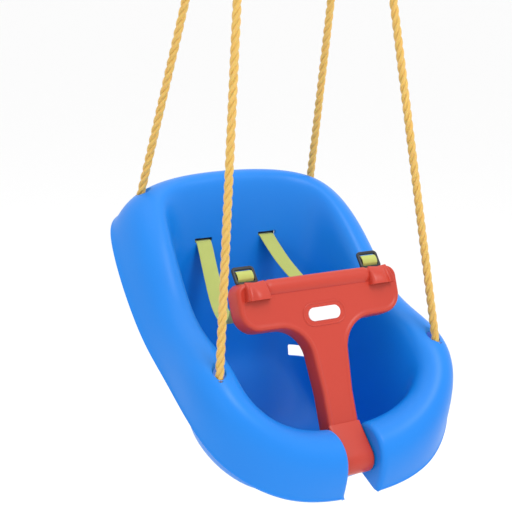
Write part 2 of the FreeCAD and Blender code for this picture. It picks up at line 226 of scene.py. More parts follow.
def cut(obj, cutters):
    for cutter in cutters:
        boolean = obj.modifiers.new("cut", "BOOLEAN")
        boolean.operation = "DIFFERENCE"
        boolean.solver = "EXACT"
        boolean.object = cutter
    applied(obj)
    for cutter in cutters:
        bpy.data.objects.remove(cutter)
    return obj


def loops_to_mesh(name, rings, close_start=True, close_end=True, sharp_degrees=40):
    """Skins a list of point rings, each of the same count."""
    count = len(rings[0])
    points = [p for ring in rings for p in ring]
    faces = []
    for r in range(len(rings) - 1):
        a, b = r * count, (r + 1) * count
        for i in range(count):
            j = (i + 1) % count
            faces.append((a + i, a + j, b + j, b + i))
    if close_start:
        faces.append(tuple(range(count))[::-1])
    if close_end:
        last = (len(rings) - 1) * count
        faces.append(tuple(range(last, last + count)))
    return mesh_from(name, points, faces, sharp_degrees)


def arc_corners(corners, steps=7):
    """A closed 2D outline through (x, y, radius) corners, counter-clockwise."""
    points = []
    count = len(corners)
    for i, (x, y, r) in enumerate(corners):
        here = Vector((x, y))
        before = (Vector(corners[i - 1][:2]) - here).normalized()
        after = (Vector(corners[(i + 1) % count][:2]) - here).normalized()
        half = math.acos(max(-1, min(1, before.dot(after)))) / 2
        centre = here + (before + after).normalized() * (r / math.sin(half))
        start = here + before * (r / math.tan(half)) - centre
        end = here + after * (r / math.tan(half)) - centre
        sweep = math.atan2(start.x * end.y - start.y * end.x, start.dot(end))
        pieces = max(2, round(steps * abs(sweep) / 0.8))
        for k in range(pieces + 1):
            angle = sweep * k / pieces
            points.append(centre + Matrix.Rotation(angle, 2) @ start)
    area = sum(points[i - 1].x * p.y - points[i - 1].y * p.x for i, p in enumerate(points))
    if area < 0:
        points.reverse()
    return points


def rounded_box(x0, x1, y0, y1, radius, steps):
    """A 2D box with rounded corners."""
    return arc_corners([(x0, y0, radius), (x1, y0, radius), (x1, y1, radius), (x0, y1, radius)],
                       steps)


def pill(half_length, radius, steps):
    """A 2D slot shape with round ends."""
    return rounded_box(-half_length, half_length, -radius, radius, radius * 0.999, steps)


def densify(points, longest):
    """The closed outline with no step longer than the given length."""
    dense = []
    for i, p in enumerate(points):
        nxt = points[(i + 1) % len(points)]
        pieces = max(1, math.ceil((nxt - p).length / longest))
        dense += [p.lerp(nxt, k / pieces) for k in range(pieces)]
    return dense


def inset_outline(points, distance):
    """The outline moved inward, along the mean of its neighbours' edge normals."""
    moved = []
    count = len(points)
    for i, p in enumerate(points):
        edge = (points[(i + 1) % count] - points[i - 1])
        if edge.length < 1e-6:
            edge = Vector((1, 0))
        normal = Vector((edge.y, -edge.x)).normalized()
        moved.append(p - normal * distance)
    return moved


def frames_along(path, closed=False):
    """Tangents and one steady side vector per point of a polyline."""
    count = len(path)
    tangents = []
    for i in range(count):
        if closed:
            d = path[(i + 1) % count] - path[i - 1]
        else:
            d = path[min(i + 1, count - 1)] - path[max(i - 1, 0)]
        tangents.append(d.normalized())
    guess = X_AXIS if abs(tangents[0].x) < 0.8 else Z_AXIS
    side = (guess - tangents[0] * guess.dot(tangents[0])).normalized()
    sides = [side]
    for i in range(1, count):
        side = (side - tangents[i] * side.dot(tangents[i])).normalized()
        sides.append(side)
    return tangents, sides


def tube(name, path, radii, sides, closed=False):
    """A round tube along seat-millimetre points, with one radius per point."""
    tangents, across = frames_along(path, closed)
    rings = []
    for i, (p, r) in enumerate(zip(path, radii)):
        other = tangents[i].cross(across[i])
        rings.append([p + across[i] * (r * math.cos(a)) + other * (r * math.sin(a))
                      for a in (2 * math.pi * k / sides for k in range(sides))])
    if closed:
        return loops_to_mesh(name, rings + [rings[0]], False, False)
    return loops_to_mesh(name, rings)


def lathe(name, profile, origin, axis, sides=40):
    """Turns (radius, height) points about an axis; the first and last radii may be 0."""
    axis = axis.normalized()
    guess = X_AXIS if abs(axis.x) < 0.8 else Z_AXIS
    u = (guess - axis * guess.dot(axis)).normalized()
    v = axis.cross(u)
    rings = []
    for r, h in profile:
        rings.append([origin + axis * h + (u * math.cos(a) + v * math.sin(a)) * max(r, 1e-4)
                      for a in (2 * math.pi * k / sides for k in range(sides))])
    return loops_to_mesh(name, rings, False, False, 35)


# ------------------------------------------------------------------ materials

def node_material(name):
    material = bpy.data.materials.new(name)
    material.use_nodes = True
    tree = material.node_tree
    return material, tree, tree.nodes["Principled BSDF"]


def noise(tree, scale, detail=3.0, roughness=0.5, vector=None):
    node = tree.nodes.new("ShaderNodeTexNoise")
    node.inputs["Scale"].default_value = scale
    node.inputs["Detail"].default_value = detail
    node.inputs["Roughness"].default_value = roughness
    if vector is None:
        coords = tree.nodes.new("ShaderNodeTexCoord")
        vector = coords.outputs["Object"]
    tree.links.new(vector, node.inputs["Vector"])
    return node.outputs["Fac"]


def ramp(tree, fac, low, high):
    node = tree.nodes.new("ShaderNodeMapRange")
    node.inputs["To Min"].default_value = low
    node.inputs["To Max"].default_value = high
    tree.links.new(fac, node.inputs["Value"])
    return node.outputs["Result"]


def mix_colour(tree, fac, first, second):
    node = tree.nodes.new("ShaderNodeMix")
    node.data_type = "RGBA"
    for socket, value in (("A", first), ("B", second)):
        target = [s for s in node.inputs if s.name == socket and s.type == "RGBA"][0]
        if isinstance(value, tuple):
            target.default_value = (*value, 1)
        else:
            tree.links.new(value, target)
    tree.links.new(fac, node.inputs["Factor"])
    return [s for s in node.outputs if s.type == "RGBA"][0]


def bump(tree, shader, height, strength, distance):
    node = tree.nodes.new("ShaderNodeBump")
    node.inputs["Strength"].default_value = strength
    node.inputs["Distance"].default_value = distance
    tree.links.new(height, node.inputs["Height"])
    tree.links.new(node.outputs["Normal"], shader.inputs["Normal"])


def moulded_plastic(name, base, shade, rough=(0.27, 0.36), coat=0.15):
    """Satin moulded polyethylene: faint flow marks, a fine orange-peel and small scuffs."""
    material, tree, shader = node_material(name)
    flow = noise(tree, 9.0, 2.0)
    colour = mix_colour(tree, ramp(tree, flow, 0.0, 1.0), base, shade)
    tree.links.new(colour, shader.inputs["Base Color"])
    tree.links.new(ramp(tree, noise(tree, 35.0, 4.0), *rough), shader.inputs["Roughness"])
    shader.inputs["Coat Weight"].default_value = coat
    shader.inputs["Coat Roughness"].default_value = 0.38
    shader.inputs["Specular IOR Level"].default_value = 0.3
    shader.inputs["IOR"].default_value = 1.5
    bump(tree, shader, noise(tree, 900.0, 2.0), 0.08, 0.0004)
    return material


def metal(name, base, rough):
    """Zinc-plated steel with a cloudy sheen and fine wear."""
    material, tree, shader = node_material(name)
    cloud = noise(tree, 160.0, 4.0)
    dark = tuple(c * 0.78 for c in base)
    tree.links.new(mix_colour(tree, cloud, base, dark), shader.inputs["Base Color"])
    tree.links.new(ramp(tree, noise(tree, 420.0, 3.0), rough - 0.08, rough + 0.1),
                   shader.inputs["Roughness"])
    shader.inputs["Metallic"].default_value = 1.0
    bump(tree, shader, noise(tree, 1500.0, 2.0), 0.1, 0.0002)
    return material


def uv_vector(tree, scale_u, scale_v):
    coords = tree.nodes.new("ShaderNodeTexCoord")
    mapping = tree.nodes.new("ShaderNodeMapping")
    mapping.inputs["Scale"].default_value = (scale_u, scale_v, 1)
    tree.links.new(coords.outputs["UV"], mapping.inputs["Vector"])
    return mapping.outputs["Vector"]


def wave(tree, vector, scale, direction, distortion=0.0):
    node = tree.nodes.new("ShaderNodeTexWave")
    node.bands_direction = direction
    node.inputs["Scale"].default_value = scale
    node.inputs["Distortion"].default_value = distortion
    node.inputs["Detail"].default_value = 1.0
    tree.links.new(vector, node.inputs["Vector"])
    return node.outputs["Fac"]


def rope_material():
    """Twisted polyethylene: glossy yellow-orange fibres that run slantwise in each strand, with a
    painted highlight on their crowns.
    """
    material, tree, shader = node_material("rope_fibre")
    yarn = wave(tree, uv_vector(tree, 1.0, 1.0), 1.9, "DIAGONAL", 0.6)
    tone = noise(tree, 60.0, 3.0)
    # The fibre crowns are painted in a highlight colour, blotched at random with a warmer tone. The
    # grooves between them keep the deeper rope colour.
    painted_highlight, deep = (0.92, 0.66, 0.20), (0.80, 0.42, 0.06)
    blotchy_painted_highlight = mix_colour(tree, tone, painted_highlight, (0.88, 0.58, 0.13))
    tree.links.new(mix_colour(tree, ramp(tree, yarn, 0.75, 0.0), blotchy_painted_highlight, deep),
                   shader.inputs["Base Color"])
    shader.inputs["Roughness"].default_value = 0.42
    shader.inputs["Sheen Weight"].default_value = 0.25
    shader.inputs["Sheen Roughness"].default_value = 0.4
    shader.inputs["Subsurface Weight"].default_value = 0.15
    shader.inputs["Subsurface Scale"].default_value = 0.004
    bump(tree, shader, yarn, 0.55, 0.0004)
    return material


def webbing_material():
    """Woven polyester strap: cross ribs with a chevron weave and a tight selvedge."""
    material, tree, shader = node_material("webbing_weave")
    ribs = wave(tree, uv_vector(tree, 1.0, 1.0), 0.28, "Y")
    ends = wave(tree, uv_vector(tree, 1.0, 1.0), 0.34, "X")
    weave = tree.nodes.new("ShaderNodeMath")
    weave.operation = "MULTIPLY_ADD"
    tree.links.new(ends, weave.inputs[0])
    weave.inputs[1].default_value = 0.5
    tree.links.new(ribs, weave.inputs[2])
    tone = mix_colour(tree, noise(tree, 45.0, 3.0), (0.56, 0.62, 0.15), (0.52, 0.58, 0.13))
    tree.links.new(mix_colour(tree, ramp(tree, weave.outputs[0], 0.35, 0.0), tone,
                              (0.30, 0.34, 0.055)), shader.inputs["Base Color"])
    shader.inputs["Roughness"].default_value = 0.75
    shader.inputs["Sheen Weight"].default_value = 0.3
    shader.inputs["Sheen Roughness"].default_value = 0.5
    bump(tree, shader, weave.outputs[0], 0.5, 0.0004)
    return material


BLUE = moulded_plastic("shell_blue", (0.003, 0.225, 0.77), (0.003, 0.205, 0.73), (0.36, 0.43), 0.12)
RED = moulded_plastic("bar_red", (0.54, 0.050, 0.028), (0.51, 0.043, 0.024), (0.32, 0.40), 0.15)
WHITE = moulded_plastic("badge_white", (0.86, 0.86, 0.87), (0.80, 0.80, 0.82), (0.2, 0.28))
BLACK = moulded_plastic("buckle_black", (0.018, 0.019, 0.022), (0.026, 0.026, 0.03), (0.32, 0.45))
ROPE = rope_material()
WEBBING = webbing_material()
ZINC = metal("zinc_plate", (0.66, 0.67, 0.70), 0.34)
STEEL = metal("bright_steel", (0.60, 0.60, 0.63), 0.28)


def finish_piece(obj, body, material, slot, *nodes):
    obj.data.materials.clear()
    obj.data.materials.append(material)
    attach(obj, body)
    if nodes:
        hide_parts(*nodes)
    return obj


# ------------------------------------------------------------------ seat shell

def station_points(station):
    """Twelve points from the middle of the pan, up the wall, over the rim to the skirt edge."""
    crest, plan, tilt, wi, di, pan, so, sd, eo, ed = station
    crest, pan = Vector(crest), Vector(pan)
    out = Vector((math.cos(math.radians(plan)), math.sin(math.radians(plan)), 0))
    up = Vector((0, -math.sin(math.radians(tilt)), math.cos(math.radians(tilt))))
    wall_top = crest - out * wi - Z_AXIS * di
    return [
        Vector((pan.x * 0.1, pan.y * 0.1 - 2, 8)),
        Vector((pan.x * 0.62, pan.y * 0.62, 6)),
        pan - out * 8 - Z_AXIS * 6,
        pan + out * 4 + Z_AXIS * 14,
        pan * 0.45 + wall_top * 0.55 + out * 3,
        wall_top,
        crest - out * wi * 0.5 + Z_AXIS * 3,
        crest + out * so * 0.55 - up * sd * 0.2 + Z_AXIS * 2,
        crest + out * so - up * sd,
        crest + out * (so * 0.5 + eo * 0.5 + 1) - up * (ed * 0.6 + sd * 0.4),
        crest + out * eo - up * (ed - 3),
        crest + out * (eo + 3) - up * ed,
    ]


def control_net():
    right = [station_points(s) for s in STATIONS]
    left = [[Vector((-p.x, p.y, p.z)) for p in row] for row in right[1:]]
    net = np.array([[tuple(p) for p in row] for row in right + left[::-1]])
    first = 2 * net[:, :1] - net[:, 1:2]
    last = 2 * net[:, -1:] - net[:, -2:-1]
    return np.concatenate([first, net, last], 1)


NET = control_net()
LOOPS = NET.shape[0]
LEVELS = NET.shape[1] - 3


def cubic(t):
    return np.array([(1 - t) ** 3, 3 * t**3 - 6 * t**2 + 4, -3 * t**3 + 3 * t**2 + 3 * t + 1,
                     t**3]) / 6


def cubic_slope(t):
    return np.array([-3 * (1 - t) ** 2, 9 * t**2 - 12 * t, -9 * t**2 + 6 * t + 3, 3 * t**2]) / 6


def shell_point(u, v, with_normal=False):
    """A point of the shell's upper surface, with the normal that points into the sheet.

    u counts stations round the rim and v counts levels from the pan to the skirt's edge.
    """
    i, j = math.floor(u), min(math.floor(v), LEVELS - 1)
    s, t = u - i, v - j
    block = NET[[(i - 1 + k) % LOOPS for k in range(4)], j:j + 4]
    point = np.einsum("a,abc,b->c", cubic(s), block, cubic(t))
    if not with_normal:
        return Vector(point)
    du = np.einsum("a,abc,b->c", cubic_slope(s), block, cubic(t))
    dv = np.einsum("a,abc,b->c", cubic(s), block, cubic_slope(t))
    return Vector(point), Vector(np.cross(du, dv)).normalized()


def solve(function, low, high, target):
    for _ in range(40):
        middle = (low + high) / 2
        if (function(low) - target) * (function(middle) - target) <= 0:
            high = middle
        else:
            low = middle
    return (low + high) / 2


def shell_sheet():
    """The shell's upper surface as a grid, open at the front slot, with rolled slot corners."""
    crest_v = 6.0
    u_slot = solve(lambda u: shell_point(u, crest_v).x, 0.0, 1.0, SLOT_HALF + CORNER_ROLL)
    v_slot = solve(lambda v: shell_point(0.0, v).z, 1.5, 4.0, SLOT_FLOOR_Z)
    inner_vs = list(np.linspace(0, v_slot, 34))
    outer_vs = list(np.linspace(v_slot, LEVELS - 0.001, 112))
    vs = inner_vs + outer_vs[1:]
    slot_row = len(inner_vs) - 1
    side_us = np.linspace(u_slot, LOOPS - u_slot, 330)
    front_us = np.linspace(-u_slot, u_slot, 22)[1:-1]
    points, faces = [], []
    index = {}

    def add(key, point):
        index[key] = len(points)
        points.append(point)

    for a, u in enumerate(side_us):
        for b, v in enumerate(vs):
            add(("side", a, b), shell_point(u, v))
    for a, u in enumerate(front_us):
        for b, v in enumerate(inner_vs):
            add(("front", a, b), shell_point(u, v))
    for a in range(len(side_us) - 1):
        for b in range(len(vs) - 1):
            faces.append([index["side", a, b], index["side", a + 1, b],
                          index["side", a + 1, b + 1], index["side", a, b + 1]])
    last = len(side_us) - 1
    columns = [("side", last)] + [("front", a) for a in range(len(front_us))] + [("side", 0)]
    for left, right in zip(columns, columns[1:]):
        for b in range(slot_row):
            faces.append([index[(*left, b)], index[(*right, b)],
                          index[(*right, b + 1)], index[(*left, b + 1)]])
    pan = [index["side", a, 0] for a in range(len(side_us))]
    pan += [index["front", a, 0] for a in range(len(front_us))]
    faces.append(pan)
    for column, u, sign in ((0, u_slot, 1), (last, LOOPS - u_slot, -1)):
        add_lip_end(points, faces, index, column, u, sign, vs, slot_row)
    return points, faces


def add_lip_end(points, faces, index, column, u, sign, vs, slot_row):
    """Rolls the sheet inward at one side of the slot and closes the lip's section with a wall."""
    rows = range(slot_row, len(vs))
    base = [shell_point(u, vs[b], True) for b in rows]
    reach = [min(1.0, k / 8) * CORNER_ROLL for k in range(len(base))]
    previous = [index["side", column, b] for b in rows]
    rolled = []
    for step in range(1, 7):
        angle = math.radians(90) * step / 6
        ring = []
        for (p, n), r in zip(base, reach):
            ring.append(p - X_AXIS * sign * r * math.sin(angle) + n * r * (1 - math.cos(angle)))
        rolled.append(ring)
    start, end = rolled[-1][0], rolled[-1][-1]
    count = len(base)
    for step in range(1, 9):
        share = step / 8
        ring = []
        for k, q in enumerate(rolled[5]):
            chord = start.lerp(end, k / (count - 1))
            flat = Vector((SLOT_HALF * sign if reach[k] >= CORNER_ROLL else q.x, chord.y, chord.z))
            ring.append(q.lerp(flat, share))
        rolled.append(ring)
    for ring in rolled:
        current = []
        for q in ring:
            current.append(len(points))
            points.append(q)
        for k in range(count - 1):
            faces.append([previous[k], previous[k + 1], current[k + 1], current[k]])
        previous = current


def flared_cutter(name, outline, at, axis, side, depth, flare):
    """A cutter along an axis whose mouths open out in a small radius at both sheet faces."""
    other = axis.cross(side).normalized()
    profile = [(-depth, flare * 6)]
    steps = 5
    for k in range(steps + 1):
        a = math.radians(90) * k / steps
        profile.append((-WALL / 2 - flare * 0.1 + flare * (1 - math.cos(a)) - flare * 0.6,
                        flare * (1 - math.sin(a))))
    mirrored = [(-h, g) for h, g in profile[::-1]]
    rings = []
    for h, grow in profile + mirrored:
        ring = inset_outline(outline, -grow)
        rings.append([at + axis * h + side * p.x + other * p.y for p in ring])
    return loops_to_mesh(name, rings)


def surface_hit(target, start, direction):
    """Where a ray in seat millimetres meets a piece."""
    hit, where, _, _ = target.ray_cast(place(start), direction)
    if not hit:
        raise ValueError("no surface along the ray from %s" % start)
    return to_seat(where)


def circle_outline(radius, count=28):
    return [Vector((math.cos(a), math.sin(a))) * radius
            for a in (2 * math.pi * k / count for k in range(count))]


def rope_hole_cutter(hole, sign):
    """A flared hole through the rim, along the line that the rope pulls in."""
    at = mirror_x(hole, sign)
    up = (mirror_x(RING_AT, sign) - at).normalized()
    side = (X_AXIS - up * up.x).normalized()
    return flared_cutter("hole", circle_outline(ROPE_HOLE_R), at - up * 1.5, up, side, 24, 1.6)


def strap_slot_cutter(shell, sign):
    half_w = (STRAP_SLOT_X[1] - STRAP_SLOT_X[0]) / 2
    half_h = STRAP_SLOT_HEIGHT / 2
    start = Vector((sum(STRAP_SLOT_X) / 2 * sign, 0, STRAP_SLOT_Z))
    centre = surface_hit(shell, start, Y_AXIS) + Y_AXIS * (WALL / 2)
    outline = rounded_box(-half_w, half_w, -half_h, half_h, 1.5, 3)
    return flared_cutter("slot", outline, centre, Y_AXIS, X_AXIS, 12, 1.0)


def window_cutter(shell, sign):
    """A hip window, cut straight through the wall's lower corner along Y."""
    half_w = (WINDOW_X[1] - WINDOW_X[0]) / 2
    half_h = (WINDOW_Z[1] - WINDOW_Z[0]) / 2
    start = Vector((sum(WINDOW_X) / 2 * sign, 0, sum(WINDOW_Z) / 2))
    hit = surface_hit(shell, start, Y_AXIS)
    outline = rounded_box(-half_w, half_w, -half_h, half_h, 1.8, 4)
    rings = [[hit + Vector((p.x, depth, p.y)) for p in outline] for depth in (-40, 40)]
    return loops_to_mesh("window", rings)


def seat_shell():
    points, faces = shell_sheet()
    shell = mesh_from("seat_shell_moulding", points, faces, 60)
    lift = shell.modifiers.new("wall", "SOLIDIFY")
    lift.thickness = WALL * MM
    lift.offset = -1
    lift.use_even_offset = True
    lift.use_quality_normals = True
    applied(shell)
    cutters = []
    for sign in (1, -1):
        cutters += [rope_hole_cutter(hole, sign) for hole in (REAR_HOLE, FRONT_HOLE)]
        cutters += [strap_slot_cutter(shell, sign), window_cutter(shell, sign)]
    cut(shell, cutters)
    soften(shell, 42, FINE_WELD)
    return finish_piece(shell, "seat", BLUE, "shell_blue", "seat_shell")


# ------------------------------------------------------------------ restraint bar

BAR_TURN = Matrix.Rotation(math.radians(-LEAN), 3, "X")


def bar_point(x, w, h):
    """A point of the restraint bar: across, back from its face, up from its pivot."""
    return PIVOT + BAR_TURN @ Vector((x, w, h))


def bar_outline():
    right = [
        (STEM_HALF, 30, 1.0), (STEM_HALF, 92, 60), (34, ARM_BOTTOM, 44),
        (ARM_HALF - 1, ARM_BOTTOM + 2, 30), (ARM_HALF, BAR_TOP, 17),
    ]
    corners = right + [(-x, h, r) for x, h, r in right[::-1]]
    return densify(arc_corners(corners, 9), 4.0)


def bar_plate():
    """The bar's tray: a deep flange all round, a crisp raised edge line and a flat face."""
    outline = bar_outline()
    profile = [
        (9.0, 4.6), (6.0, 5.0), (4.6, 7.0), (4.0, 12.0), (3.6, BAR_DEPTH - 0.8),
        (3.0, BAR_DEPTH), (1.0, BAR_DEPTH), (0.2, BAR_DEPTH - 0.8), (0.0, BAR_DEPTH - 2.5),
        (0.6, 14.0), (1.4, 6.0), (1.9, 3.4), (2.8, 1.6), (4.2, 0.5), (5.8, 0.0), (7.2, 0.15),
        (8.4, 0.7), (9.6, 1.2), (11.0, 1.4), (13.0, 1.4),
    ]
    rings = []
    for inset, w in profile:
        rings.append([bar_point(p.x, w, p.y) for p in inset_outline(outline, inset)])
    return loops_to_mesh("bar_plate", rings, True, True, 50)


def knuckle():
    """The barrel round the pivot axle, with the teardrop that runs up into the stem."""
    front_reach, back_reach = Vector((0, 50)), Vector((13, 44))
    outline = [front_reach]
    start = math.atan2(8.0, -18.3)
    end = math.atan2(3.0, 19.8)
    sweep = (end - start) % (2 * math.pi)
    for k in range(49):
        a = start + sweep * k / 48
        outline.append(Vector((math.cos(a), math.sin(a))) * KNUCKLE_R)
    outline.append(back_reach)
    outline = densify(outline, 3.0)
    rings = []
    edge = [(3.6, 0.0), (1.7, 0.45), (0.6, 1.3), (0.15, 2.4), (0.0, 4.0)]
    spans = [(i, STEM_HALF - x) for i, x in edge] + [(i, -STEM_HALF + x) for i, x in edge[::-1]]
    for inset, x in spans:
        rings.append([bar_point(x, p.x, p.y) for p in inset_outline(outline, inset)])
    return loops_to_mesh("knuckle", rings, True, True, 50)


def top_roll():
    """The raised grip roll along the top edge, with rounded ends."""
    half, rise = ROLL_HALF, 11.6
    rings = []
    turns = [math.radians(90) * k / 9 for k in range(10)]
    ends = [(-half + rise * (1 - math.cos(t)), max(0.03, math.sin(t))) for t in turns]
    stations = ends + [(x, 1.0) for x in np.linspace(-half + rise + 6, half - rise - 6, 22)]
    stations += [(-x, s) for x, s in ends[::-1]]
    for x, size in stations:
        ring = []
        for k in range(36):
            a = 2 * math.pi * k / 36
            w = 6.0 - 8.6 * size * math.cos(a)
            h = BAR_TOP - 11.4 + rise * size * math.sin(a)
            ring.append(bar_point(x, w, h))
        rings.append(ring)
    return loops_to_mesh("roll", rings)


HOOD_PROFILE = [(-1.0, 0.0), (-0.985, 0.35), (-0.96, 0.72), (-0.93, 0.9), (-0.89, 0.97), (-0.85, 0.93),
                (-0.80, 0.80), (-0.72, 0.68), (-0.62, 0.66), (-0.50, 0.74), (-0.36, 0.90),
                (-0.22, 0.99), (-0.08, 1.03), (0.08, 1.03), (0.24, 1.0), (0.42, 0.96), (0.60, 0.92),
                (0.76, 0.88), (0.86, 0.80), (0.93, 0.62), (0.975, 0.35), (1.0, 0.0)]


def hood(sign):
    """A scoop over a strap slot: a thin side wall, then a bulge, open underneath."""
    across, down = len(HOOD_PROFILE), 18
    points, faces = [], []
    for j in range(down):
        t = j / (down - 1)
        half = 15.5 + 4.0 * t
        swell = math.sin(t * math.pi / 2) ** 0.8
        for s, height in HOOD_PROFILE:
            rise = 12.6 * swell * height
            h = BAR_TOP - 1.5 - 24.5 * t + 1.6 * (1 - t) * abs(s)
            points.append(bar_point(HOOD_X * sign - half * s * sign, 2.0 - rise, h))
    for j in range(down - 1):
        for i in range(across - 1):
            a = j * across + i
            faces.append((a, a + 1, a + across + 1, a + across))
    scoop = mesh_from("hood", points, faces, 60)
    thick = scoop.modifiers.new("wall", "SOLIDIFY")
    thick.thickness = 2.2 * MM
    normal = sum((p.normal for p in scoop.data.polygons), Vector())
    thick.offset = -1 if normal.dot(BAR_TURN @ Vector((0, -1, 0))) > 0 else 1
    return applied(scoop)


def recess_ring():
    """The raised oval frame round the badge's recess."""
    outline = [Vector((p.x, p.y + BADGE_H)) for p in pill(35.0, 16.5, 12)]
    profile = [(-0.4, 2.4), (0.0, 1.2), (0.5, 0.6), (1.3, 0.35), (2.1, 0.6), (2.8, 1.2), (3.6, 2.4)]
    rings = [[bar_point(p.x, w, p.y) for p in inset_outline(outline, i)] for i, w in profile]
    return loops_to_mesh("recess", rings, False, False)


def scoop_opening(sign):
    """Cuts the bar's face open under a scoop."""
    middle = HOOD_X * sign
    outline = rounded_box(middle - 10, middle + 10, HOOD_H - 10, HOOD_H + 4, 2.0, 4)
    return loops_to_mesh("cutter", [[bar_point(p.x, w, p.y) for p in outline] for w in (-4, 9)])


def restraint_bar():
    plate = bar_plate()
    cut(plate, [scoop_opening(1), scoop_opening(-1)])
    bar = join("restraint_bar", [plate, knuckle(), top_roll(), hood(1), hood(-1), recess_ring()])
    soften(bar, 45, FINE_WELD)
    finish_piece(bar, "t_bar", RED, "bar_red", "t_bar")


def blank_badge():
    outline = [Vector((p.x, p.y + BADGE_H)) for p in pill(26.0, 9.2, 10)]
    profile = [(0.0, 2.2), (0.0, 0.9), (0.25, 0.45), (0.8, 0.25), (1.6, 0.2)]
    rings = [[bar_point(p.x, w, p.y) for p in inset_outline(outline, i)] for i, w in profile]
    plate = loops_to_mesh("blank_badge", rings, True, True, 50)
    finish_piece(plate, "t_bar", WHITE, "badge_white", "badge")


# ------------------------------------------------------------------ harness

def smooth_path(points, per_span=10):
    """A Catmull-Rom line through points."""
    path = []
    count = len(points)
    for i in range(count - 1):
        a, b = points[max(i - 1, 0)], points[i]
        c, d = points[i + 1], points[min(i + 2, count - 1)]
        for k in range(per_span):
            t = k / per_span
            path.append(0.5 * ((2 * b) + (c - a) * t + (2 * a - 5 * b + 4 * c - d) * t * t
                               + (3 * b - a - 3 * c + d) * t**3))
    path.append(points[-1])
    return path


def ribbon(name, path, width, thickness):
    """Webbing along a path, its width level along X, with soft edges and UVs in millimetres."""
    half, t = width / 2, thickness / 2
    section = [(-half, 0), (-half + 0.25, t * 0.8), (-half + 0.9, t), (-half + 1.8, t * 0.86)]
    section += [(x, t) for x in np.linspace(-half + 2.6, half - 2.6, 7)]
    section += [(half - 1.8, t * 0.86), (half - 0.9, t), (half - 0.25, t * 0.8), (half, 0)]
    section += [(x, -y) for x, y in section[1:-1][::-1]]
    tangents, _ = frames_along(path)
    rings, lengths, run = [], [], 0.0
    for i, p in enumerate(path):
        run += (p - path[i - 1]).length if i else 0.0
        lengths.append(run)
        normal = tangents[i].cross(X_AXIS).normalized()
        rings.append([p + X_AXIS * x + normal * y for x, y in section])
    obj = loops_to_mesh(name, rings)
    add_strip_uvs(obj, [x for x, _ in section], lengths)
    return obj


def add_strip_uvs(obj, across, lengths):
    """UVs for a skinned strip: across in millimetres, and length in millimetres."""
    layer = obj.data.uv_layers.new(name="UVMap")
    count = len(across)
    total = count * len(lengths)
    for polygon in obj.data.polygons:
        for corner, vertex in zip(polygon.loop_indices, polygon.vertices):
            if vertex < total:
                layer.data[corner].uv = (across[vertex % count], lengths[vertex // count])


def buckle_point(x, w, h):
    turn = Matrix.Rotation(math.radians(-BUCKLE_LEAN), 3, "X")
    return BUCKLE_AT + turn @ Vector((x, w, h))


# The strap's way through the buckle, over its middle bar and back: back and up from its centre.
BUCKLE_THREAD = [(4.0, -12.0), (2.2, -8.4), (0.0, -6.6), (-2.0, -4.6), (-2.9, 0.0), (-2.0, 4.6),
                 (0.0, 6.8), (2.4, 7.4), (4.6, 5.2), (5.4, 0.0), (5.9, -8.0), (7.6, -17.0),
                 (10.5, -26.0)]


def strap_centres(sign):
    """Out of the slot, down in a slack curve, up through the buckle and out behind it."""
    slot_x = sum(STRAP_SLOT_X) / 2
    line = [(slot_x, 149.6, STRAP_LEVEL), (slot_x, 145.5, STRAP_LEVEL),
            (slot_x + 0.3, 141.2, STRAP_LEVEL - 1.6)]
    if sign < 0:
        line += [(57.0, 131, 299), (62.5, 108, 274), (71.0, 73, 240), (79.0, 42, 226),
                 (89.0, 8, 225), (98.0, -22, 242)]
    else:
        line += [(56.5, 129, 299), (63.5, 104, 275), (74.0, 74, 252), (84.0, 42, 240),
                 (93.0, 8, 236), (99.0, -20, 247)]
    line += [(BUCKLE_AT.x - 0.5, -39, 273)]
    path = [Vector(p) for p in line] + [buckle_point(0, w, h) for w, h in BUCKLE_THREAD]
    return [mirror_x(p, sign) for p in path]


def harness_strap(side, sign):
    path = smooth_path(strap_centres(sign), 8)
    strap = ribbon("harness_strap_" + side, path, STRAP_WIDTH, STRAP_THICK)
    finish_piece(strap, "harness_" + side, WEBBING, "webbing", "strap_" + side)


def slide_buckle(side, sign):
    """A two-slot slide buckle, its frame, middle bar and edges rounded."""
    width, height, depth = BUCKLE_SIZE
    outer = rounded_box(-width / 2, width / 2, -height / 2, height / 2, 6, 8)
    half = depth / 2
    profile = [(1.5, half), (0.5, half - 0.35), (0.0, half - 1.2), (0.0, -half + 1.2),
               (0.5, -half + 0.35), (1.5, -half)]
    rings = [[mirror_x(buckle_point(p.x, w, p.y), sign) for p in inset_outline(outer, i)]
             for i, w in profile]
    frame_piece = loops_to_mesh("slide_buckle_" + side, rings, True, True, 50)
    cutters = []
    for h0, h1 in ((1.9, height / 2 - 4.8), (-height / 2 + 4.8, -1.9)):
        w = width / 2 - 4.4
        hole = rounded_box(-w, w, h0, h1, 1.4, 4)
        spans = [(-1.2, -half - 0.5), (-0.9, -half), (-0.25, -half + 0.35), (0, -half + 1.1),
                 (0, half - 1.1), (-0.25, half - 0.35), (-0.9, half), (-1.2, half + 0.5)]
        rings = [[mirror_x(buckle_point(p.x, d, p.y), sign) for p in inset_outline(hole, i)]
                 for i, d in spans]
        cutters.append(loops_to_mesh("hole", rings))
    cut(frame_piece, cutters)
    soften(frame_piece, 45, FINE_WELD)
    finish_piece(frame_piece, "harness_" + side, BLACK, "buckle_black", "buckle_" + side)


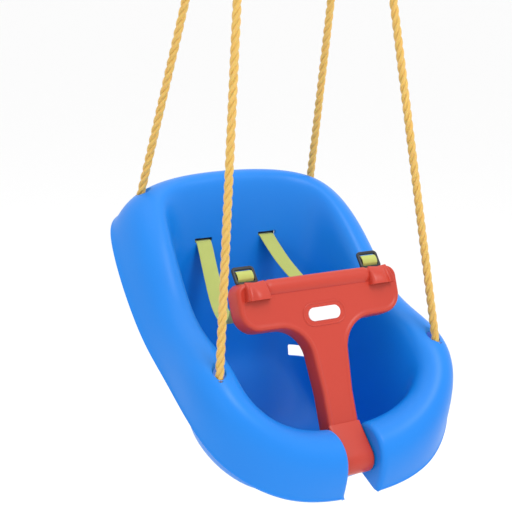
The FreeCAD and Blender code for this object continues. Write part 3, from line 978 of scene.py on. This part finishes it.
def anchor(side):
    """The moulded bar that the strap's sewn end wraps, behind the backrest."""
    low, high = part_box("strap_anchor_" + side)
    centre = to_seat((low + high) / 2)
    width, depth, height = (high - low) / MM
    outline = rounded_box(-width / 2, width / 2, -height / 2, height / 2, 4, 6)
    half = depth / 2
    profile = [(1.2, -half), (0.3, -half + 0.3), (0.0, -half + 1.0), (0.0, half - 1.0),
               (0.3, half - 0.3), (1.2, half), (4.0, half), (4.8, half - 0.8)]
    rings = [[centre + Vector((p.x, w, p.y)) for p in inset_outline(outline, i)]
             for i, w in profile]
    bar = loops_to_mesh("strap_anchor_bar_" + side, rings, True, True, 50)
    finish_piece(bar, "seat", BLACK, "buckle_black", "strap_anchor_" + side)


# ------------------------------------------------------------------ ropes and fittings

def rope_frame(hole, angle):
    """Where a rope meets its ring: the wire's centre, the rope's direction and its side."""
    turn = math.radians(angle)
    wire = RING_AT + Vector((0, math.sin(turn), -math.cos(turn))) * RING_R
    up = (wire - hole).normalized()
    side = (X_AXIS - up * up.x).normalized()
    return wire, up, side


def rope_route(hole, angle):
    """The rope's line: out of its knot, straight up, over the ring's wire and back down."""
    wire, up, side = rope_frame(hole, angle)
    wrap = WIRE_R + ROPE_D / 2 + ROPE_GAP
    half = ROPE_D / 2 + PAIR_GAP
    return [
        hole - up * (KNOT_DROP + 8),
        wire + side * half - up * (FERRULE_DROP + EYE_LEAD + 6 * ROPE_D),
        wire + side * half - up * (FERRULE_DROP + EYE_LEAD),
        wire + side * (wrap + 3.0) + up * (wrap + 0.8),
        wire - side * (wrap + 3.0) + up * (wrap + 0.8),
        wire - side * half - up * (FERRULE_DROP + 4),
        wire - side * half * 1.06 - up * (TAIL + 8),
    ]


def spline_line(points):
    """Points read from a NURBS line through the route's control points."""
    data = bpy.data.curves.new("route", "CURVE")
    data.dimensions = "3D"
    spline = data.splines.new("NURBS")
    spline.points.add(len(points) - 1)
    for target, p in zip(spline.points, points):
        target.co = (*place(p), 1)
    spline.order_u = 3
    spline.use_endpoint_u = True
    spline.resolution_u = 24
    obj = new_object("route", data)
    bpy.context.view_layer.update()
    graph = bpy.context.evaluated_depsgraph_get()
    mesh = bpy.data.meshes.new_from_object(obj.evaluated_get(graph))
    line = [to_seat(v.co) for v in mesh.vertices]
    bpy.data.objects.remove(obj)
    bpy.data.curves.remove(data)
    bpy.data.meshes.remove(mesh)
    return line


def even_steps(line, step):
    """The same line with points a fixed distance apart."""
    lengths = [0.0]
    for a, b in zip(line, line[1:]):
        lengths.append(lengths[-1] + (b - a).length)
    count = max(2, round(lengths[-1] / step))
    result, k = [], 0
    for i in range(count + 1):
        target = lengths[-1] * i / count
        while k < len(lengths) - 2 and lengths[k + 1] < target:
            k += 1
        span = max(lengths[k + 1] - lengths[k], 1e-9)
        result.append(line[k].lerp(line[k + 1], (target - lengths[k]) / span))
    return result, lengths[-1]


def twisted(name, line, diameter, lay, step=2.4, sides=10):
    """Three strands laid round a line, each with UVs that follow its fibres."""
    path, total = even_steps(line, step)
    tangents, across = frames_along(path)
    spacing = total / (len(path) - 1)
    strand_r, offset = diameter * 0.248, diameter * 0.254
    parts = []
    for strand in range(3):
        centres = []
        for i, p in enumerate(path):
            angle = 2 * math.pi * (i * spacing / lay + strand / 3)
            other = tangents[i].cross(across[i])
            centres.append(p + (across[i] * math.cos(angle) + other * math.sin(angle)) * offset)
        radii = [strand_r] * len(path)
        radii[0] = radii[-1] = strand_r * 0.82
        piece = tube("strand", centres, radii, sides)
        seam = [2.0 * k for k in range(sides)]
        add_strip_uvs(piece, seam, [i * spacing for i in range(len(path))])
        parts.append(piece)
    return join_with_uvs(name, parts), path, total


def join_with_uvs(name, parts):
    bpy.ops.object.select_all(action="DESELECT")
    for part in parts:
        part.select_set(True)
    bpy.context.view_layer.objects.active = parts[0]
    bpy.ops.object.join()
    parts[0].name = name
    parts[0].data.name = name
    return parts[0]


def overhand_knot(name, hole, sign):
    """A pulled-tight overhand knot that stops the rope under the rim."""
    up = (RING_AT - hole).normalized()
    side = (X_AXIS - up * up.x).normalized()
    other = up.cross(side)
    centre = hole - up * KNOT_DROP
    line = []
    for k in range(97):
        t = 2 * math.pi * k / 96 * 0.985 + 0.3
        x = (math.sin(t) + 2 * math.sin(2 * t)) * KNOT_SPREAD
        y = (math.cos(t) - 2 * math.cos(2 * t)) * KNOT_SPREAD
        z = -math.sin(3 * t) * KNOT_DEPTH
        line.append(mirror_x(centre + side * x + other * y + up * z, sign))
    knot, _, _ = twisted(name, line, ROPE_D * 0.86, ROPE_LAY * 0.8, 1.8, 9)
    return knot


def rope_with_fittings(end, hole, angle, side, sign):
    name = "%s_%s" % (end, side)
    route = [mirror_x(p, sign) for p in rope_route(hole, angle)]
    rope, path, total = twisted("rope_strands_" + name, spline_line(route), ROPE_D, ROPE_LAY)
    knot = overhand_knot("rope_knot_tied_" + name, hole, sign)
    finish_piece(knot, "seat", ROPE, "rope", "rope_knot_" + name)
    finish_piece(rope, "seat", ROPE, "rope", "rope_" + name)
    wire, up, across = rope_frame(hole, angle)
    washer_at = mirror_x(hole - up * WASHER_DROP, sign)
    upward = mirror_x(up, sign)
    washer = lathe("rope_washer_pressed_" + name, [
        (ROPE_D / 2 + 0.4, 0.3), (ROPE_D / 2 + 0.7, 0.0), (10.0, 0.0), (10.4, 0.4), (10.4, 1.2),
        (10.0, 1.6), (ROPE_D / 2 + 0.7, 1.6), (ROPE_D / 2 + 0.4, 1.3), (ROPE_D / 2 + 0.4, 0.3)],
        washer_at, upward)
    finish_piece(washer, "seat", ZINC, "zinc", "rope_washer_" + name)
    ferrule = crimped_ferrule("rope_ferrule_crimped_" + name, wire, up, across, sign)
    finish_piece(ferrule, "seat", ZINC, "zinc", "rope_ferrule_" + name)


def crimped_ferrule(name, wire, up, across, sign):
    """An oval sleeve pressed on the rope and its tail, with two crimp grooves."""
    outline = pill(ROPE_D + 1.9, ROPE_D / 2 + 1.65, 8)
    inner = 1.4
    base = wire - up * (FERRULE_DROP + FERRULE_LENGTH)
    other = up.cross(across)
    length = FERRULE_LENGTH
    profile = [(inner, 0.6), (inner - 0.5, 0.1), (0.5, 0.0), (0.1, 0.5), (0.0, 1.5)]
    for centre in (length * 0.33, length * 0.67):
        profile += [(0.0, centre - 3.2), (0.5, centre - 1.8), (0.75, centre), (0.5, centre + 1.8),
                    (0.0, centre + 3.2)]
    profile += [(0.0, length - 1.5), (0.1, length - 0.5), (0.5, length), (inner - 0.5, length - 0.1),
                (inner, length - 0.6), (inner, 0.6)]
    rings = []
    for inset, z in profile:
        ring = inset_outline(outline, inset)
        rings.append([mirror_x(base + up * z + across * p.x + other * p.y, sign) for p in ring])
    return loops_to_mesh(name, rings, False, False)


def steel_ring(side, sign):
    centre = mirror_x(RING_AT, sign)
    count = 72
    path, radii = [], []
    for k in range(count):
        a = 2 * math.pi * k / count
        path.append(centre + Vector((0, math.sin(a), math.cos(a))) * RING_R)
        weld = math.exp(-((k - 9) / 1.3) ** 2)
        radii.append(WIRE_R - 0.15 + 0.35 * weld)
    ring = tube("welded_ring_" + side, path, radii, 20, True)
    finish_piece(ring, "seat", ZINC, "zinc", "ring_" + side)


def oval_link(side, sign):
    centre = mirror_x(Vector((RING_AT.x, RING_AT.y, LINK_LOW + LINK_R + LINK_STRAIGHT / 2)), sign)
    path = []
    for turn, shift in ((0, LINK_STRAIGHT / 2), (math.pi, -LINK_STRAIGHT / 2)):
        for k in range(19):
            a = turn + math.pi * k / 18
            path.append(centre + Vector((math.cos(a) * LINK_R, 0, math.sin(a) * LINK_R + shift)))
    path = densify(path, 2.5)
    radii = []
    for p in path:
        gap = (p - centre - Vector((LINK_R, 0, 0))).length
        radii.append(WIRE_R - 0.1 + 0.35 * math.exp(-(gap / 2.2) ** 2))
    link = tube("oval_link_" + side, path, radii, 20, True)
    finish_piece(link, "hangers", ZINC, "zinc", "hang_link_" + side)


def axle_and_nuts():
    low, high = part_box("pivot_axle")
    start, end = to_seat(low), to_seat(high)
    length, r = end.x - start.x, (end.z - start.z) / 2
    axle = lathe("pivot_axle_pin", [(0.0, 0.0), (r - 1.0, 0.0), (r - 0.3, 0.3), (r, 1.0),
                                    (r, length - 1.0), (r - 0.3, length - 0.3),
                                    (r - 1.0, length), (0.0, length)],
                 Vector((start.x, PIVOT.y, PIVOT.z)), X_AXIS)
    finish_piece(axle, "seat", STEEL, "steel", "pivot_axle")
    for side, sign in (("left", 1), ("right", -1)):
        low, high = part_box("axle_push_nut_" + side)
        inner = (low.x if sign > 0 else high.x) / MM
        nut = lathe("push_nut_domed_" + side, [
            (r, 0.2), (r + 0.3, 0.0), (8.6, 0.0), (9.0, 0.4), (8.9, 0.9), (8.4, 1.2), (6.6, 1.25),
            (6.1, 1.8), (5.9, 3.2), (5.2, 4.0), (4.6, 4.2), (r, 4.0), (r, 0.2)],
            Vector((inner, PIVOT.y, PIVOT.z)), X_AXIS * sign)
        finish_piece(nut, "seat", STEEL, "steel", "axle_push_nut_" + side)


# ------------------------------------------------------------------ stage

# The camera's place in seat millimetres, its turns in degrees and its lens in millimetres.
CAMERA_AT = (-999.27, -1483.26, 731.03)
AZIMUTH, ELEVATION, ROLL = -32.521, 13.193, 1.385
LENS = 92.02
# Metres from the object's lowest point to the floor under it.
FLOOR_DROP = 0.45


def camera():
    azimuth, elevation, roll = (math.radians(d) for d in (AZIMUTH, ELEVATION, ROLL))
    back = Vector((math.sin(azimuth) * math.cos(elevation),
                   -math.cos(azimuth) * math.cos(elevation), math.sin(elevation)))
    level = Vector((math.cos(azimuth), math.sin(azimuth), 0))
    rise = back.cross(level)
    right = level * math.cos(roll) + rise * math.sin(roll)
    up = rise * math.cos(roll) - level * math.sin(roll)
    data = bpy.data.cameras.new("camera")
    data.lens = LENS
    data.sensor_width = 36
    data.clip_start, data.clip_end = 0.05, 60
    holder = new_object("camera", data)
    turn = Matrix((right, up, back)).transposed()
    holder.matrix_world = Matrix.Translation(place(CAMERA_AT)) @ turn.to_4x4()
    bpy.context.scene.camera = holder


def lights():
    """Three soft lamps in an even white room, in metres and watts."""
    area_light("key", (0.5, -1.5, 1.3), 1.0, 20)
    area_light("overhead", (0.0, 0.2, 1.5), 2.4, 10)
    area_light("front_left", (-2.4, -1.6, 0.3), 1.8, 3)
    world = bpy.data.worlds.new("studio")
    world.use_nodes = True
    background = world.node_tree.nodes["Background"]
    background.inputs["Color"].default_value = (1, 1, 1, 1)
    background.inputs["Strength"].default_value = 1.0
    bpy.context.scene.world = world
    bpy.context.scene.view_settings.view_transform = "Standard"


def area_light(name, at, size, power):
    """A round lamp that points at the seat."""
    data = bpy.data.lights.new(name, "AREA")
    data.shape = "DISK"
    data.size = size
    data.energy = power
    lamp = new_object(name, data)
    lamp.location = at
    direction = Vector((0, 0, -0.8)) - Vector(at)
    lamp.rotation_mode = "QUATERNION"
    lamp.rotation_quaternion = direction.to_track_quat("-Z", "Y")


def floor():
    level = cad_low.z - FLOOR_DROP
    material, _, shader = node_material("pale_floor")
    shader.inputs["Base Color"].default_value = (0.97, 0.97, 0.97, 1)
    shader.inputs["Roughness"].default_value = 0.9
    mesh = bpy.data.meshes.new("floor")
    reach = 30
    mesh.from_pydata([(-reach, -reach, level), (reach, -reach, level), (reach, reach, level),
                      (-reach, reach, level)], [], [(0, 1, 2, 3)])
    plane = new_object("floor", mesh)
    plane.data.materials.append(material)


# ------------------------------------------------------------------ all together

camera()
lights()
floor()
seat_shell()
restraint_bar()
blank_badge()
for side, sign in (("left", 1), ("right", -1)):
    harness_strap(side, sign)
    slide_buckle(side, sign)
    anchor(side)
    steel_ring(side, sign)
    oval_link(side, sign)
    rope_with_fittings("front", FRONT_HOLE, -20, side, sign)
    rope_with_fittings("rear", REAR_HOLE, 22, side, sign)
axle_and_nuts()
